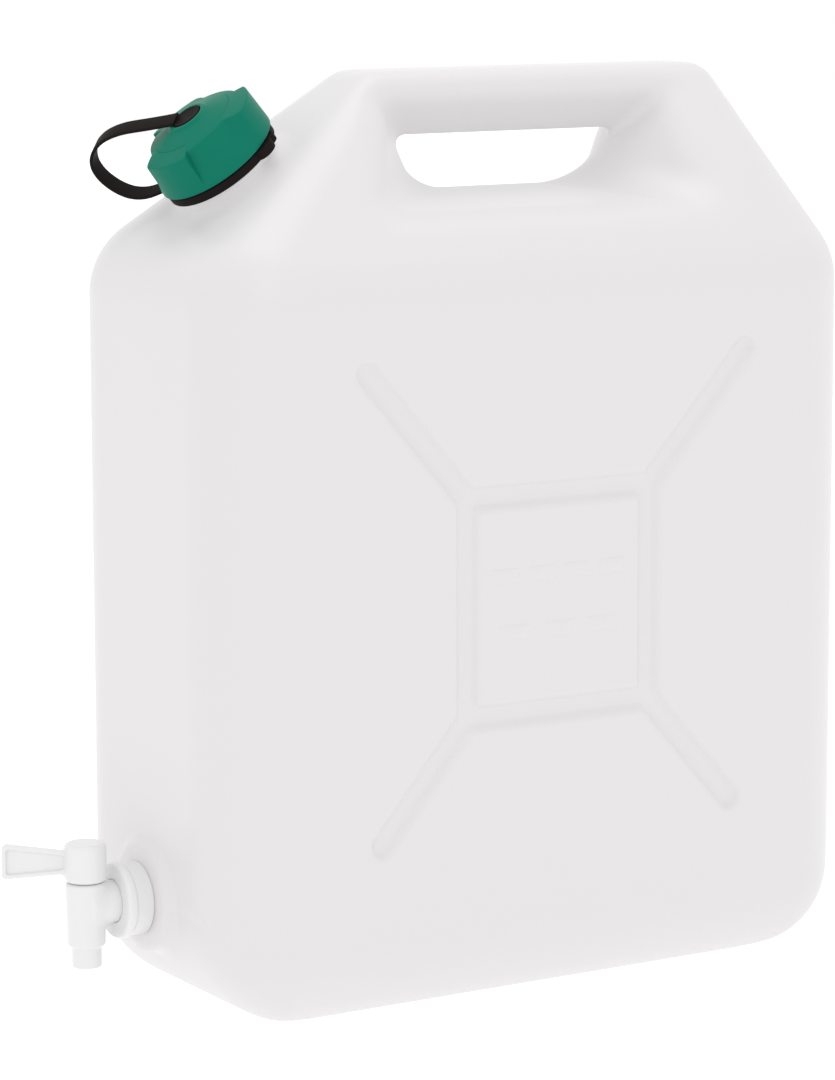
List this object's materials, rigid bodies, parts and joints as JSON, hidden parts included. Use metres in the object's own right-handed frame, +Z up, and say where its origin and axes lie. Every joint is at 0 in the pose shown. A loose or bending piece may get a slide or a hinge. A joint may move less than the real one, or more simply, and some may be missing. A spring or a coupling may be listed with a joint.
{
  "type": "jerry can",
  "caption": "Upright translucent water can with a built-in handle, a tilted screw cap on a tether strap and a plug tap low on one end.",
  "frame": {"origin": "centre of the base, on the surface the can stands on", "axes": "+Z up; +X along the can's length, away from the tap; the big faces look along +Y and -Y"},
  "size_m": [0.4222, 0.1644, 0.44],
  "materials": {
    "can_plastic": "milky translucent blow-moulded polyethylene, satin",
    "cap_plastic": "green moulded polypropylene, semi-gloss",
    "gasket": "soft pale sealing foam",
    "tether": "black soft moulded strap, satin",
    "tap_plastic": "white moulded plastic, slightly glossy"
  },
  "bodies": {
    "can": {"can_body": "can_plastic", "tether_collar": "tether", "tether_strap": "tether", "tap_union_nut": "tap_plastic", "tap_gasket": "gasket", "tap_body": "tap_plastic"},
    "cap_carrier": {"tether_button": "tether"},
    "cap": {"filler_cap": "cap_plastic", "cap_gasket": "gasket"},
    "tap_plug": {"tap_key": "tap_plastic"}
  },
  "joints": [
    {"name": "cap_lift", "type": "slide", "parent": "can", "child": "cap_carrier", "axis": [-0.6293, 0, 0.7771], "range_m": [0, 0.00751], "deforming": ["tether_strap"]},
    {"name": "cap_turn", "type": "hinge", "parent": "cap_carrier", "child": "cap", "pos_m": [-0.129, 0, 0.392], "axis": [-0.6293, 0, 0.7771], "range_deg": [0, 540]},
    {"name": "tap_turn", "type": "hinge", "parent": "can", "child": "tap_plug", "pos_m": [-0.2103, 0, 0.0773], "axis": [0, 0, 1], "range_deg": [0, 90]}
  ],
  "couplings": [
    {"joint": "cap_lift", "follows": "cap_turn", "m_per_rad": 0.00079577}
  ]
}
